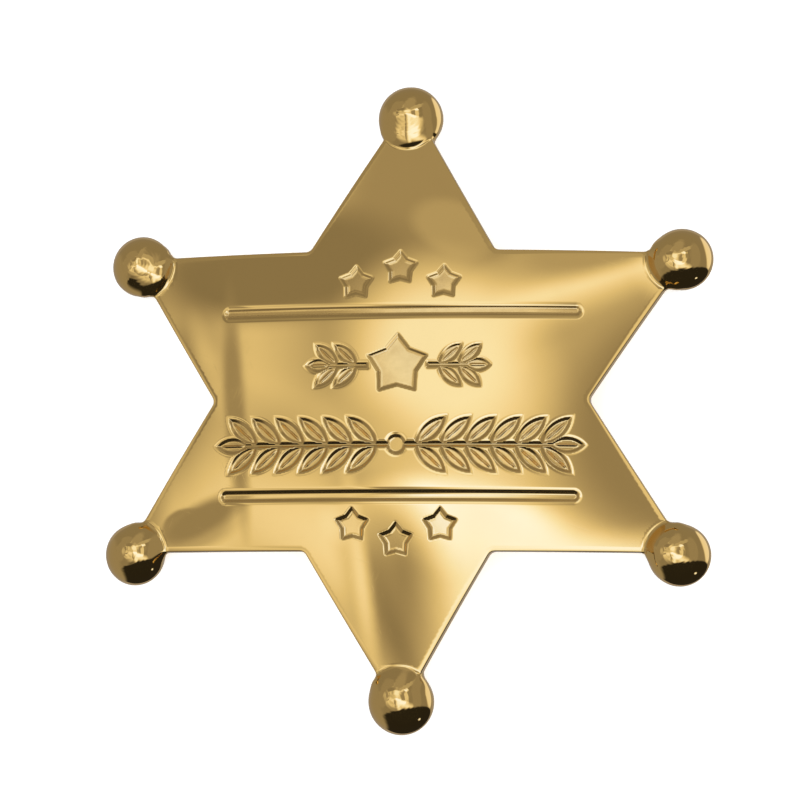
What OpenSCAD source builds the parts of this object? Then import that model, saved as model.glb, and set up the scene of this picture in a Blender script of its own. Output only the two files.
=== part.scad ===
// Six-pointed star badge, pressed from one sheet of brass, lying face up.
// Origin: middle of the badge, on the plane that the rims of the six balls rest on.
// +X to the right of the face, +Y to its top, +Z out of the face. Millimetres.

/* [Sheet] */
// Thickness of the sheet
sheet_t = 0.6; // [0.5:0.05:0.8]
// Radius of the domed face
dome_r = 109; // [100:1:130]
// Height of the turned edge, from the face to its lower rim
edge_h = 1.2; // [1:0.1:1.5]

/* [Balls] */
// Distance of the top and bottom ball centres from the middle
end_ball_y = 29.7; // [29.4:0.1:30]
// Radius of the top and bottom balls
end_ball_r = 3.33; // [3.1:0.01:3.5]
// Sideways distance of the four side ball centres from the middle
side_ball_x = 28; // [27.7:0.1:28.3]
// Distance of the side ball centres above and below the middle
side_ball_y = 14.9; // [14.7:0.1:15.1]
// Radius of the side balls
side_ball_r = 3.12; // [3:0.01:3.3]
// Depth of the ball centres below the crown of the face
ball_drop = 5.25; // [5:0.05:5.5]
// Height of the ball centres above their rims
ball_lip = 0.35; // [0.3:0.05:0.5]

/* [Outline] */
// Distance of the left and right inner corners from the middle
waist_x = 19.1; // [18.6:0.1:19.6]
// Sideways distance of the four other inner corners from the middle
notch_x = 9.5; // [9.2:0.1:9.8]
// Distance of those corners above and below the middle
notch_y = 15.2; // [14.9:0.1:15.5]
// Where the edges of the top and bottom arms would cross, from the middle
end_tip_y = 31.1; // [30.8:0.1:31.4]
// Where the edges of the side arms would cross, sideways from the middle
side_tip_x = 28.8; // [28.5:0.1:29.1]
// Where the edges of the side arms would cross, above and below the middle
side_tip_y = 15.1; // [14.9:0.1:15.3]
// How far the punched outline sits above the pressed pattern
outline_shift_y = 0.4; // [0:0.1:0.5]
// Radius of the inner corners
corner_r = 0.8; // [0.5:0.1:1.2]
// Radius of the fillets where an arm meets its ball
neck_r = 0.8; // [0.5:0.1:1]

/* [Pressed pattern] */
// Depth of the pressed pattern
press_depth = 0.35; // [0.2:0.05:0.4]
// Length of a groove between the centres of its round ends
groove_l = 35.5; // [32:0.5:36]
// Width of a groove
groove_w = 0.78; // [0.6:0.02:1]
// Distance of the two grooves above and below the middle
groove_y = 9.3; // [9:0.1:9.6]
// Outer radius of a small star
star_r = 1.73; // [1.5:0.01:1.9]
// Sideways distance between neighbouring small stars
star_pitch = 4.49; // [4.2:0.01:5]
// Distance of the outer small stars above and below the middle
star_y = 12.24; // [12:0.01:12.5]
// How much further out the middle small star of each row is
star_rise = 1.5; // [1:0.1:1.8]

/* [Laurel] */
// Height of the middle of the upper ornament
upper_row_y = 3.8; // [3.6:0.1:4]
// Outer radius of the star between the upper sprigs
big_star_r = 3.1; // [2.8:0.1:3.3]
// Start of an upper sprig's first leaves, from the middle
upper_start = 4.3; // [4.2:0.1:4.6]
// Distance from one pair of an upper sprig's leaves to the next
upper_pitch = 1.95; // [1.9:0.05:2]
// Length of an upper sprig's leaf
upper_leaf_l = 2.8; // [2.6:0.1:2.9]
// Width of an upper sprig's leaf
upper_leaf_w = 1.1; // [0.9:0.1:1.1]
// Height of the middle of the garland
lower_row_y = -4.2; // [-4.4:0.1:-4]
// Radius of the boss where the garland's two halves meet
boss_r = 0.85; // [0.7:0.05:0.9]
// Start of the garland's first leaves, from the middle
lower_start = 2.1; // [2:0.1:2.3]
// Distance from one pair of the garland's leaves to the next
lower_pitch = 2.5; // [2.4:0.05:2.55]
// Length of a garland leaf
lower_leaf_l = 3.7; // [3.5:0.1:3.8]
// Width of a garland leaf
lower_leaf_w = 1.3; // [1.1:0.1:1.3]

/* [Pin back] */
// Length of the strip on the back
strip_l = 29; // [26:0.5:30]
// Width of the strip
strip_w = 4.4; // [4:0.1:6]
// Thickness of the strip
strip_t = 0.8; // [0.6:0.1:0.9]
// Gap between the strip and the pressed pattern's back
strip_gap = 0.05; // [0.02:0.01:0.1]
// Half of the distance between the knuckle and the catch
lug_x = 12; // [11:0.1:12.5]
// Radius of the knuckle and of the catch
lug_r = 1.05; // [0.95:0.05:1.1]
// Height of the pin's centre line above the rims of the balls
stem_z = 1.45; // [1.35:0.05:1.5]
// Radius of the pin
stem_r = 0.42; // [0.35:0.01:0.5]

/* [Hidden] */
$fn = 96;
GOLD = [0.83, 0.66, 0.27];
PIN_GOLD = [0.76, 0.61, 0.28];
DOME_FN = 240;
ARC_STEPS = 4;
UPPER_PAIRS = 2;
LOWER_PAIRS = 6;
crown_z = ball_drop + ball_lip;
prism_h = crown_z + 2;
// How far the back of the pattern reaches out around its front
press_wall = 0.3;
// Radius of a star's inner corners, as a share of its outer radius
star_waist = 0.56;
stem_w = 0.3;
// Angle between a laurel's stem and its leaves
leaf_spread = 42;

// Corners of the star, anticlockwise from the right inner corner: a corner, then the tip after it
corners = [[waist_x, 0], [notch_x, notch_y], [-notch_x, notch_y],
           [-waist_x, 0], [-notch_x, -notch_y], [notch_x, -notch_y]];
tips = [[side_tip_x, side_tip_y], [0, end_tip_y], [-side_tip_x, side_tip_y],
        [-side_tip_x, -side_tip_y], [0, -end_tip_y], [side_tip_x, -side_tip_y]];
// Centre and radius of the ball at each tip, in the same order
balls = [[side_ball_x, side_ball_y, side_ball_r], [0, end_ball_y, end_ball_r],
         [-side_ball_x, side_ball_y, side_ball_r], [-side_ball_x, -side_ball_y, side_ball_r],
         [0, -end_ball_y, end_ball_r], [side_ball_x, -side_ball_y, side_ball_r]];

function unit(v) = v / norm(v);
function turned(v) = [v[1], -v[0]];
function angle_of(v) = atan2(v[1], v[0]);
function shifted(p) = [p[0], p[1] + outline_shift_y];
function in_half_turn(a) = a > 180 ? a - 360 : (a < -180 ? a + 360 : a);

// Points on the short arc about c from direction v0 to direction v1
function arc(c, r, v0, v1) =
    let (a0 = angle_of(v0), da = in_half_turn(angle_of(v1) - a0))
    [for (i = [0:ARC_STEPS])
        let (a = a0 + da * i / ARC_STEPS)
        c + r * [cos(a), sin(a)]];

// The corner p of a polygon whose edges along p0-p and p-p1 both move inwards by d
function inset_point(p0, p, p1, d) =
    let (n0 = turned(unit(p - p0)), n1 = turned(unit(p1 - p)))
    p - d * (n0 + n1) / (1 + n0 * n1);

// Rounded inner corner at p, where the edges to p0 and p1 meet
function round_corner(p0, p, p1, r) =
    let (u = unit(p0 - p), v = unit(p1 - p), m = -unit(u + v),
         half = acos(u * v) / 2,
         c = p - m * r / sin(half),
         n0 = unit(p + u * r / tan(half) - c),
         n1 = unit(p + v * r / tan(half) - c))
    arc(c, r, n0, n1);

// Fillet between the edge from corner p to the tip q and the circle of radius b about the ball centre c
function neck(p, q, c, b, r) =
    let (along = unit(q - p), side = turned(along),
         out = (c - p) * side > 0 ? -side : side,
         depth = (p - c) * out + r,
         f = c + out * depth - along * sqrt((b + r) * (b + r) - depth * depth))
    arc(f, r, -out, c - f);

function reversed(points) = [for (i = [len(points) - 1:-1:0]) points[i]];

// Outline of the star with its fillets, moved inwards by d
function outline(d) =
    let (n = len(tips),
         c = [for (i = [0:n - 1])
             inset_point(shifted(tips[(i + n - 1) % n]), shifted(corners[i]), shifted(tips[i]), d)],
         t = [for (i = [0:n - 1])
             inset_point(shifted(corners[i]), shifted(tips[i]), shifted(corners[(i + 1) % n]), d)])
    [for (i = [0:n - 1])
        let (j = (i + 1) % n, ball = [balls[i][0], balls[i][1]], b = balls[i][2] - sheet_t / 2 - d)
        each concat(
            round_corner(t[(i + n - 1) % n], c[i], t[i], corner_r + d),
            neck(c[i], t[i], ball, b, neck_r + d),
            [ball],
            reversed(neck(c[j], t[i], ball, b, neck_r + d)))];

// Everything under a sphere that has the same centre as the domed face, with its poles off the badge
module under(r) {
    translate([0, 0, crown_z - dome_r])
        rotate([90, 0, 0])
            sphere(r, $fn = DOME_FN);
}

// The layer between two depths below the domed face
module layer(upper, lower) {
    difference() {
        under(dome_r - upper);
        under(dome_r - lower);
    }
}

module star_prism(d) {
    translate([0, 0, -1])
        linear_extrude(prism_h)
            polygon(outline(d));
}

// Hemispheres at the tips, smaller by d than the outside of the balls
module ball_domes(d) {
    for (b = balls)
        translate([b[0], b[1], ball_lip])
            sphere(b[2] - d);
}

module above_rims() {
    translate([-2 * waist_x, -2 * waist_x, 0])
        cube([4 * waist_x, 4 * waist_x, prism_h]);
}

// Five-pointed star with a point towards +Y, grown by g
module five_point(r, g) {
    polygon([for (i = [0:9])
        (i % 2 == 0 ? r + 2 * g : star_waist * r + g) * [sin(36 * i), cos(36 * i)]]);
}

// Pointed leaf from the origin along +X, grown by g: where two circles overlap
module leaf(l, w, g) {
    r = (l * l + w * w) / (4 * w);
    intersection() {
        translate([l / 2, r - w / 2])
            circle(r + g);
        translate([l / 2, w / 2 - r])
            circle(r + g);
    }
}

// Laurel sprig along +X: pairs of leaves l long and w wide, a shorter end leaf, and their stem
module sprig(start, pairs, pitch, l, w, g) {
    end_leaf_x = start + (pairs - 0.65) * pitch;
    end_leaf_l = 0.85 * l;
    stem_x = start - 0.6 * pitch;
    stem_end_x = end_leaf_x + 0.3 * l;
    for (i = [0:pairs - 1], side = [-1, 1])
        translate([start + i * pitch, side * stem_w / 2])
            rotate(side * leaf_spread)
                leaf(l, w, g);
    translate([end_leaf_x, 0])
        leaf(end_leaf_l, w, g);
    translate([stem_x - g, -stem_w / 2 - g])
        square([stem_end_x - stem_x + 2 * g, stem_w + 2 * g]);
}

// Children and their mirror image, left to right
module both_ways() {
    children();
    mirror([1, 0])
        children();
}

// Groove with round ends, grown by g
module groove(g) {
    translate([-groove_l / 2, -groove_w / 2 - g])
        square([groove_l, groove_w + 2 * g]);
    both_ways()
        translate([groove_l / 2, 0])
            circle(groove_w / 2 + g);
}

// Row of three small stars, the middle one further out by rise
module star_row(rise, g) {
    for (i = [-1:1])
        translate([i * star_pitch, i == 0 ? rise : 0])
            five_point(star_r, g);
}

module upper_ornament(g) {
    five_point(big_star_r, g);
    both_ways()
        sprig(upper_start, UPPER_PAIRS, upper_pitch, upper_leaf_l, upper_leaf_w, g);
}

module lower_ornament(g) {
    circle(boss_r + g);
    both_ways()
        sprig(lower_start, LOWER_PAIRS, lower_pitch, lower_leaf_l, lower_leaf_w, g);
}

// The whole pressed pattern, grown by g
module pattern(g) {
    for (side = [-1, 1]) {
        translate([0, side * groove_y])
            groove(g);
        translate([0, side * star_y])
            star_row(side * star_rise, g);
    }
    translate([0, upper_row_y])
        upper_ornament(g);
    translate([0, lower_row_y])
        lower_ornament(g);
}

module pattern_prism(g) {
    linear_extrude(prism_h)
        pattern(g);
}

// The pressing: face, turned edge, hollow balls, and the pattern pressed in from the front
module star_plate() {
    color(GOLD) {
        difference() {
            union() {
                intersection() {
                    star_prism(0);
                    layer(0, edge_h);
                }
                intersection() {
                    ball_domes(0);
                    above_rims();
                }
            }
            intersection() {
                star_prism(sheet_t);
                under(dome_r - sheet_t);
            }
            ball_domes(sheet_t);
            difference() {
                pattern_prism(0);
                under(dome_r - press_depth);
            }
        }
        intersection() {
            pattern_prism(press_wall);
            layer(press_depth + 0.1, press_depth + sheet_t);
        }
    }
}

// The strip that is fixed to the back, curved as the dome is
module strip() {
    top = sheet_t + press_depth + strip_gap;
    end_x = (strip_l - strip_w) / 2;
    intersection() {
        linear_extrude(prism_h) {
            translate([-end_x, -strip_w / 2])
                square([2 * end_x, strip_w]);
            both_ways()
                translate([end_x, 0])
                    circle(strip_w / 2);
        }
        layer(top, top + strip_t);
    }
}

// Round bar along X at the height of the pin, from x0 to x1, narrowing from radius r0 to r1
module bar(x0, x1, r0, r1) {
    translate([x0, 0, stem_z])
        rotate([0, 90, 0])
            cylinder(h = x1 - x0, r1 = r0, r2 = r1);
}

// Web from the pin's height up into the strip, l long and w wide, centred at x
module web(x, l, w) {
    intersection() {
        translate([x - l / 2, -w / 2, stem_z])
            cube([l, w, prism_h]);
        under(dome_r - sheet_t - press_depth - strip_gap - strip_t / 2);
    }
}

// Closed bar pin: strip, knuckle, pin and hook-shaped catch in one piece
module pin_back() {
    knuckle_w = 2.6;
    catch_l = 2;
    catch_bore = stem_r + 0.22;
    catch_slot = 2 * stem_r + 0.2;
    point_l = 2.4;
    point_r = 0.06;
    past_catch = 0.6;
    point_x = lug_x + catch_l / 2 + past_catch;
    color(PIN_GOLD) {
        strip();
        web(-lug_x, 2 * lug_r, knuckle_w);
        translate([-lug_x, knuckle_w / 2, stem_z])
            rotate([90, 0, 0])
                cylinder(r = lug_r, h = knuckle_w);
        difference() {
            union() {
                web(lug_x, catch_l, 2 * lug_r);
                bar(lug_x - catch_l / 2, lug_x + catch_l / 2, lug_r, lug_r);
            }
            bar(lug_x - catch_l, lug_x + catch_l, catch_bore, catch_bore);
            translate([lug_x - catch_l, -2 * lug_r, stem_z - catch_slot / 2])
                cube([2 * catch_l, 2 * lug_r, catch_slot]);
        }
        bar(-lug_x, point_x - point_l, stem_r, stem_r);
        bar(point_x - point_l, point_x, stem_r, point_r);
    }
}

star_plate();
pin_back();
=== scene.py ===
"""Star badge: a pressed, gold-toned star with ball tips and a bar pin on its back, dressed for the camera.

Shapes are worked out in millimetres in the CAD frame (origin in the middle of the plane that the ball rims
rest on, +X right, +Y up, +Z out of the face) and turned into metres only when a mesh is made.
"""
import logging
import math
from dataclasses import dataclass, field
from enum import Enum
from typing import Callable, Iterable

import bpy
import numpy as np
from mathutils import Matrix, Vector
from mathutils.geometry import delaunay_2d_cdt


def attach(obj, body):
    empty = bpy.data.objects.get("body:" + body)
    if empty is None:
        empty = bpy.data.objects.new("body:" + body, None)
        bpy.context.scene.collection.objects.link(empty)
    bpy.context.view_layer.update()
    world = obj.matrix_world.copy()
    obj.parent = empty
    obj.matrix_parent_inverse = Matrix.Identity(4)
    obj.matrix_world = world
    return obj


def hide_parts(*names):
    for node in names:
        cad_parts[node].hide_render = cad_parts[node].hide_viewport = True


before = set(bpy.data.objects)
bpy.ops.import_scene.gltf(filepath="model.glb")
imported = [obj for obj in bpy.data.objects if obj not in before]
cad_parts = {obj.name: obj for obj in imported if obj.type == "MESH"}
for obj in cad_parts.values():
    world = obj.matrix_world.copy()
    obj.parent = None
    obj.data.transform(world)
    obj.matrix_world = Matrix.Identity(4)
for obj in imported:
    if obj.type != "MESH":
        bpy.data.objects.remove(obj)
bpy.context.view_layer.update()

LOG = logging.getLogger("star_badge")
MM = 0.001
LAYERS = ("pressed", "turned", "reverse")
WHITE = (1.0, 1.0, 1.0, 1.0)
Array = np.ndarray


class Slot(Enum):
    """Material slots of the part's record."""

    PLATE = "gold_plate"
    PIN = "pin_metal"


class Side(Enum):
    """Faces of the pressed sheet."""

    FRONT = 1
    BACK = -1


def unit(v: Array) -> Array:
    """Vectors scaled to length one."""
    return v / np.maximum(np.linalg.norm(v, axis=-1, keepdims=True), 1e-12)


def smooth_step(t: Array) -> Array:
    """Smooth rise from 0 at t = 0 to 1 at t = 1."""
    t = np.clip(t, 0.0, 1.0)
    return t * t * (3.0 - 2.0 * t)


def fillet(a: Array, b: Array, reach_a: float | Array, reach_b: float | Array) -> Array:
    """Smaller of two distances, with a fillet in the inner corner between their surfaces.

    Args:
        a: Distance to the first body.
        b: Distance to the second body.
        reach_a: How far the fillet goes out over the first body.
        reach_b: How far it goes out over the second body.

    Returns:
        Distance to both together.
    """
    share = np.maximum(1.0 - np.abs(b - a) / np.where(b > a, reach_a, reach_b), 0.0)
    return np.minimum(a, b) - reach_a * reach_b / (2.0 * (reach_a + reach_b)) * share * share


def round_max(a: Array, b: Array, radius: float) -> Array:
    """Larger of two distances, with the edge between them rounded."""
    a, b = a + radius, b + radius
    return np.minimum(np.maximum(a, b), 0.0) + np.hypot(np.maximum(a, 0.0), np.maximum(b, 0.0)) - radius


def arc(centre: Array, radius: float, start: Array, end: Array, steps: int, outer: bool = False) -> Array:
    """Points on a circular arc.

    Args:
        centre: Middle of the circle.
        radius: Its radius.
        start: Direction from the centre to the first point.
        end: Direction from the centre to the last point.
        steps: Number of pieces.
        outer: Run anticlockwise all the way, not along the shorter side.

    Returns:
        steps + 1 points.
    """
    first = math.atan2(start[1], start[0])
    turn = math.atan2(end[1], end[0]) - first
    turn = turn % (2 * math.pi) if outer else (turn + math.pi) % (2 * math.pi) - math.pi
    angle = first + turn * np.linspace(0.0, 1.0, steps + 1)
    return np.asarray(centre) + radius * np.c_[np.cos(angle), np.sin(angle)]


def last_inside(low: Array, high: Array, steps: int, inside: Callable[[Array], Array]) -> Array:
    """Halves the gap between values that are inside a body and values that are outside.

    Args:
        low: Values inside.
        high: Values outside.
        steps: How many times the gap is halved.
        inside: Says of each value whether it is inside.

    Returns:
        The values where the body ends.
    """
    for _ in range(steps):
        middle = (low + high) / 2
        under = inside(middle)
        low, high = np.where(under, middle, low), np.where(under, high, middle)
    return (low + high) / 2


def polygon_distance(points: Array, corners: Array, chunk: int = 20000) -> Array:
    """Distance of points to a polygon, negative inside it.

    Args:
        points: Rows of x, y.
        corners: Corners of the polygon, in order.
        chunk: Points worked on at a time.

    Returns:
        One signed distance a point.
    """
    edge = np.roll(corners, -1, 0) - corners
    length_sq = (edge * edge).sum(1)
    rise = np.where(edge[:, 1] == 0.0, 1e-12, edge[:, 1])
    end_y = corners[:, 1] + edge[:, 1]
    out = np.empty(len(points))
    for first in range(0, len(points), chunk):
        p = points[first:first + chunk, None, :]
        w = p - corners
        share = np.clip((w * edge).sum(-1) / length_sq, 0.0, 1.0)
        gap = w - edge * share[..., None]
        near = np.sqrt((gap * gap).sum(-1).min(1))
        crosses = (corners[:, 1] <= p[..., 1]) != (end_y <= p[..., 1])
        left = p[..., 0] < corners[:, 0] + w[..., 1] * edge[:, 0] / rise
        out[first:first + chunk] = np.where((crosses & left).sum(1) % 2 == 1, -near, near)
    return out


@dataclass
class Skin:
    """Points, normals and faces of one mesh while it is being made."""

    points: list[Array] = field(default_factory=list)
    normals: list[Array] = field(default_factory=list)
    marks: list[Array] = field(default_factory=list)
    faces: list[Array] = field(default_factory=list)
    count: int = 0

    def add(self, points: Array, normals: Array, marks: Array | None = None) -> Array:
        """Adds points.

        Args:
            points: Rows of x, y, z in millimetres.
            normals: One normal a point.
            marks: Values of the point attributes, a column for each of LAYERS, or None where all are 0.

        Returns:
            The numbers that the points got.
        """
        self.points.append(np.asarray(points, float))
        self.normals.append(unit(np.asarray(normals, float)))
        self.marks.append(np.zeros((len(points), len(LAYERS))) if marks is None else marks)
        self.count += len(points)
        return np.arange(self.count - len(points), self.count)

    def band(self, row: Array, after: Array) -> None:
        """Closes the gap between two closed rows of the same number of points."""
        self.faces.append(np.c_[row, np.roll(row, -1), np.roll(after, -1), after])

    def sheet(self, rows: Array) -> None:
        """Joins a grid of open rows, one below the other."""
        a, b, c, d = rows[:-1, :-1], rows[:-1, 1:], rows[1:, 1:], rows[1:, :-1]
        self.faces.append(np.stack([a, b, c, d], -1).reshape(-1, 4))

    def loft(self, rings: Array) -> None:
        """Adds a closed body through rings of points.

        Args:
            rings: Rows of as many points each, the first and the last of them closed with a cap.
        """
        rows, count = rings.shape[:2]
        points = np.concatenate([rings.reshape(-1, 3), rings[[0, -1]].mean(1)])
        grid = np.arange(rows * count).reshape(rows, count)
        after = np.roll(grid, -1, 1)
        first, last = np.full(count, rows * count), np.full(count, rows * count + 1)
        blocks = [np.stack([grid[:-1], after[:-1], after[1:], grid[1:]], -1).reshape(-1, 4),
                  np.c_[after[0], grid[0], first, first], np.c_[grid[-1], after[-1], last, last]]
        normals, volume = np.zeros_like(points), 0.0
        for block in blocks:
            a, b, c, d = (points[block[:, i]] for i in range(4))
            facing = np.cross(c - a, d - b)
            volume += (a * facing).sum()
            for i in range(4):
                np.add.at(normals, block[:, i], facing)
        numbers = self.add(points, math.copysign(1.0, volume) * normals)
        self.faces += [numbers[blocks[0]], numbers[blocks[1][:, :3]], numbers[blocks[2][:, :3]]]

    def build(self, name: str) -> bpy.types.Object:
        """Makes the object, with the faces of each block turned the way its normals point.

        Args:
            name: Name of the object and its mesh.

        Returns:
            The new object, linked to the scene.
        """
        points, normals = np.concatenate(self.points), np.concatenate(self.normals)
        faces: list[list[int]] = []
        for block in self.faces:
            a, b, c = (points[block[:, i]] for i in (0, 1, 2))
            facing = np.cross(b - a, c - a)
            if block.shape[1] == 4:
                facing = facing + np.cross(c - a, points[block[:, 3]] - a)
            agrees = (facing * normals[block].sum(1)).sum() > 0.0
            faces += (block if agrees else block[:, ::-1]).tolist()
        mesh = bpy.data.meshes.new(name)
        mesh.from_pydata((points * MM).tolist(), [], faces)
        for label, values in zip(LAYERS, np.concatenate(self.marks).T):
            mesh.attributes.new(label, "FLOAT", "POINT").data.foreach_set("value", values.astype(np.float32))
        mesh.polygons.foreach_set("use_smooth", np.ones(len(faces), bool))
        mesh.normals_split_custom_set_from_vertices(normals.tolist())
        mesh.update()
        made = bpy.data.objects.new(name, mesh)
        bpy.context.scene.collection.objects.link(made)
        LOG.info("%s: %d points, %d faces", name, len(points), len(faces))
        return made


@dataclass(frozen=True)
class BallForm:
    """How one ball is pressed where it turns to the middle of the badge.

    Its top leans that way by a share of its height, its inner side is filled up by some height at its outline
    and flattened to a share of its height, and a fillet reaches over the face and up the ball.
    """

    lean: float
    over_face: float
    over_ball: float
    fill: float = 0.0
    flat: float = 1.0


@dataclass
class Outline:
    """Plan of the star and of its six balls.

    The points where the star's edges would cross lie at the waist, the notches and the tips. A neck is the
    fillet between an arm and its ball. It starts inside the ball by the overlap, and round the ball only the
    points that lie off it are kept.
    """

    waist_x: float = 19.1
    notch_x: float = 9.5
    notch_y: float = 15.2
    end_tip_y: float = 31.1
    side_tip_x: float = 28.8
    side_tip_y: float = 15.1
    shift_y: float = 0.4
    corner_r: float = 0.8
    neck_r: float = 0.8
    neck_overlap: float = 0.3
    end_ball_y: float = 29.7
    end_ball_r: float = 3.33
    side_ball_x: float = 28.0
    side_ball_y: float = 14.9
    side_ball_r: float = 3.12
    upper_right: BallForm = BallForm(lean=0.14, over_face=0.8, over_ball=1.8)
    top: BallForm = BallForm(lean=-0.03, over_face=0.5, over_ball=1.6, fill=1.1, flat=0.85)
    upper_left: BallForm = BallForm(lean=0.12, over_face=0.9, over_ball=2.4, fill=0.9, flat=0.85)
    lower_left: BallForm = BallForm(lean=0.16, over_face=0.8, over_ball=2.0)
    bottom: BallForm = BallForm(lean=0.1, over_face=0.7, over_ball=1.6, fill=0.2)
    lower_right: BallForm = BallForm(lean=0.14, over_face=0.8, over_ball=1.8)
    arc_steps: int = 10
    cap_steps: int = 90
    off_ball: float = 0.02

    def corners(self) -> Array:
        """The six inner corners, anticlockwise from the right one."""
        x, a, b, s = self.waist_x, self.notch_x, self.notch_y, self.shift_y
        return np.array([(x, s), (a, s + b), (-a, s + b), (-x, s), (-a, s - b), (a, s - b)])

    def tips(self) -> Array:
        """Where the two edges of each arm would cross, each after its corner."""
        x, y, e, s = self.side_tip_x, self.side_tip_y, self.end_tip_y, self.shift_y
        return np.array([(x, s + y), (0, s + e), (-x, s + y), (-x, s - y), (0, s - e), (x, s - y)])

    def balls(self) -> Array:
        """Centre and radius of each ball, in the order of the tips.

        Returns:
            Rows of x, y and radius.
        """
        x, y, r = self.side_ball_x, self.side_ball_y, self.side_ball_r
        e, q = self.end_ball_y, self.end_ball_r
        return np.array([(x, y, r), (0, e, q), (-x, y, r), (-x, -y, r), (0, -e, q), (x, -y, r)])

    def forms(self) -> tuple[BallForm, ...]:
        """How each ball is pressed, in the order of the tips."""
        return self.upper_right, self.top, self.upper_left, self.lower_left, self.bottom, self.lower_right

    def inner_corner(self, before: Array, at: Array, after: Array) -> Array:
        """Rounded inner corner between two edges.

        Args:
            before: Tip of the arm before the corner.
            at: Where the two edges would cross.
            after: Tip of the arm after it.

        Returns:
            Points on the arc between the edges.
        """
        u, v = unit(before - at), unit(after - at)
        half = math.acos(float(u @ v)) / 2
        centre = at + unit(u + v) * self.corner_r / math.sin(half)
        reach = self.corner_r / math.tan(half)
        return arc(centre, self.corner_r, at + u * reach - centre, at + v * reach - centre, self.arc_steps)

    def neck(self, at: Array, tip: Array, ball: Array) -> Array:
        """Fillet from an arm's edge into its ball.

        Args:
            at: Inner corner that the edge starts from.
            tip: Where the edge would end.
            ball: Centre and radius of the ball.

        Returns:
            Points from the edge to the inside of the ball.
        """
        centre, radius = ball[:2], ball[2] - self.neck_overlap
        along = unit(tip - at)
        side = np.array((along[1], -along[0]))
        out = -side if (centre - at) @ side > 0 else side
        depth = (at - centre) @ out + self.neck_r
        reach = math.sqrt((radius + self.neck_r) ** 2 - depth ** 2)
        middle = centre + out * depth - along * reach
        return arc(middle, self.neck_r, -out, centre - middle, self.arc_steps)

    def loop(self, with_balls: bool) -> Array:
        """Outline of the star, anticlockwise.

        Args:
            with_balls: Whether it goes round each ball, and not just to the middle of it.

        Returns:
            Its points, more of them on the arcs.
        """
        corner, tip, ball = self.corners(), self.tips(), self.balls()
        rows = []
        for i in range(len(ball)):
            middle, radius, end = ball[i, :2], ball[i, 2], ball[i:i + 1, :2]
            way_in, way_out = (self.neck(corner[k % len(ball)], tip[i], ball[i]) for k in (i, i + 1))
            if with_balls:
                way_in, way_out = (row[np.hypot(*(row - middle).T) > radius + self.off_ball]
                                   for row in (way_in, way_out))
                end = arc(middle, radius, way_in[-1] - middle, way_out[-1] - middle, self.cap_steps, True)
            rows += [self.inner_corner(tip[i - 1], corner[i], tip[i]), way_in, end, way_out[::-1]]
        return np.concatenate(rows)

    def whole(self, spacing: float) -> Array:
        """Outline of star and balls together.

        Args:
            spacing: Distance between neighbouring points.

        Returns:
            Evenly spaced points, anticlockwise.
        """
        loop = self.loop(True)
        loop = np.concatenate([loop, loop[:1]])
        run = np.r_[0.0, np.cumsum(np.hypot(*np.diff(loop, axis=0).T))]
        at = np.linspace(0.0, run[-1], int(run[-1] / spacing), endpoint=False)
        return np.c_[np.interp(at, run, loop[:, 0]), np.interp(at, run, loop[:, 1])]


@dataclass
class Sprig:
    """One half of a laurel ornament, lying along +X: pairs of leaves on a stem, and a leaf at its end.

    The end leaf's length, the veins and the stem past the last foot are shares of a leaf's length, and where
    the stem and the end leaf begin are shares of the pitch.
    """

    row_y: float
    start: float
    pitch: float
    leaf_l: float
    leaf_w: float
    pairs: int
    stem_w: float = 0.3
    spread: float = math.radians(42)
    end_leaf: float = 0.85
    end_back: float = 0.65
    stem_before: float = 0.6
    stem_after: float = 0.3
    vein_reach: float = 0.42
    vein_taper: float = 0.2

    def leaves(self) -> list[tuple[float, float, float, float]]:
        """Foot x and y, turn and length of every leaf.

        Returns:
            One row a leaf, the end leaf last.
        """
        made = [(self.start + i * self.pitch, self.row_y + s * self.stem_w / 2, s * self.spread, self.leaf_l)
                for i in range(self.pairs) for s in (-1, 1)]
        return made + [(self.end_x(), self.row_y, 0.0, self.end_leaf * self.leaf_l)]

    def end_x(self) -> float:
        """Foot of the end leaf."""
        return self.start + (self.pairs - self.end_back) * self.pitch

    def distance(self, x: Array, y: Array) -> Array:
        """Distance to the nearest leaf or to the stem, negative inside.

        Args:
            x: Places along the sprig.
            y: Places across it.

        Returns:
            One signed distance a place.
        """
        first = self.start - self.stem_before * self.pitch
        last = self.end_x() + self.stem_after * self.leaf_l
        qx = np.abs(x - (first + last) / 2) - (last - first) / 2
        qy = np.abs(y - self.row_y) - self.stem_w / 2
        out = np.hypot(np.maximum(qx, 0.0), np.maximum(qy, 0.0)) + np.minimum(np.maximum(qx, qy), 0.0)
        for u, v, length in self.along(x, y):
            r = (length ** 2 + self.leaf_w ** 2) / (4 * self.leaf_w)
            out = np.minimum(out, np.hypot(u, np.abs(v) + r - self.leaf_w / 2) - r)
        return out

    def along(self, x: Array, y: Array) -> Iterable[tuple[Array, Array, float]]:
        """Coordinates along and across each leaf from its middle, and its length.

        Args:
            x: Places along the sprig.
            y: Places across it.

        Returns:
            Both coordinates of every place, leaf by leaf.
        """
        for foot_x, foot_y, turn, length in self.leaves():
            c, s = math.cos(turn), math.sin(turn)
            dx, dy = x - foot_x, y - foot_y
            yield dx * c + dy * s - length / 2, dy * c - dx * s, length

    def vein(self, x: Array, y: Array, width: float) -> Array:
        """Height of the leaves' raised midribs, from 0 to 1.

        Args:
            x: Places along the sprig.
            y: Places across it.
            width: Distance from a midrib's middle to its foot.

        Returns:
            One height a place.
        """
        out = np.zeros(len(x))
        for u, v, length in self.along(x, y):
            taper = smooth_step((self.vein_reach * length - np.abs(u)) / (self.vein_taper * length))
            out = np.maximum(out, taper * smooth_step(1.0 - np.abs(v) / width))
        return out


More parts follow.
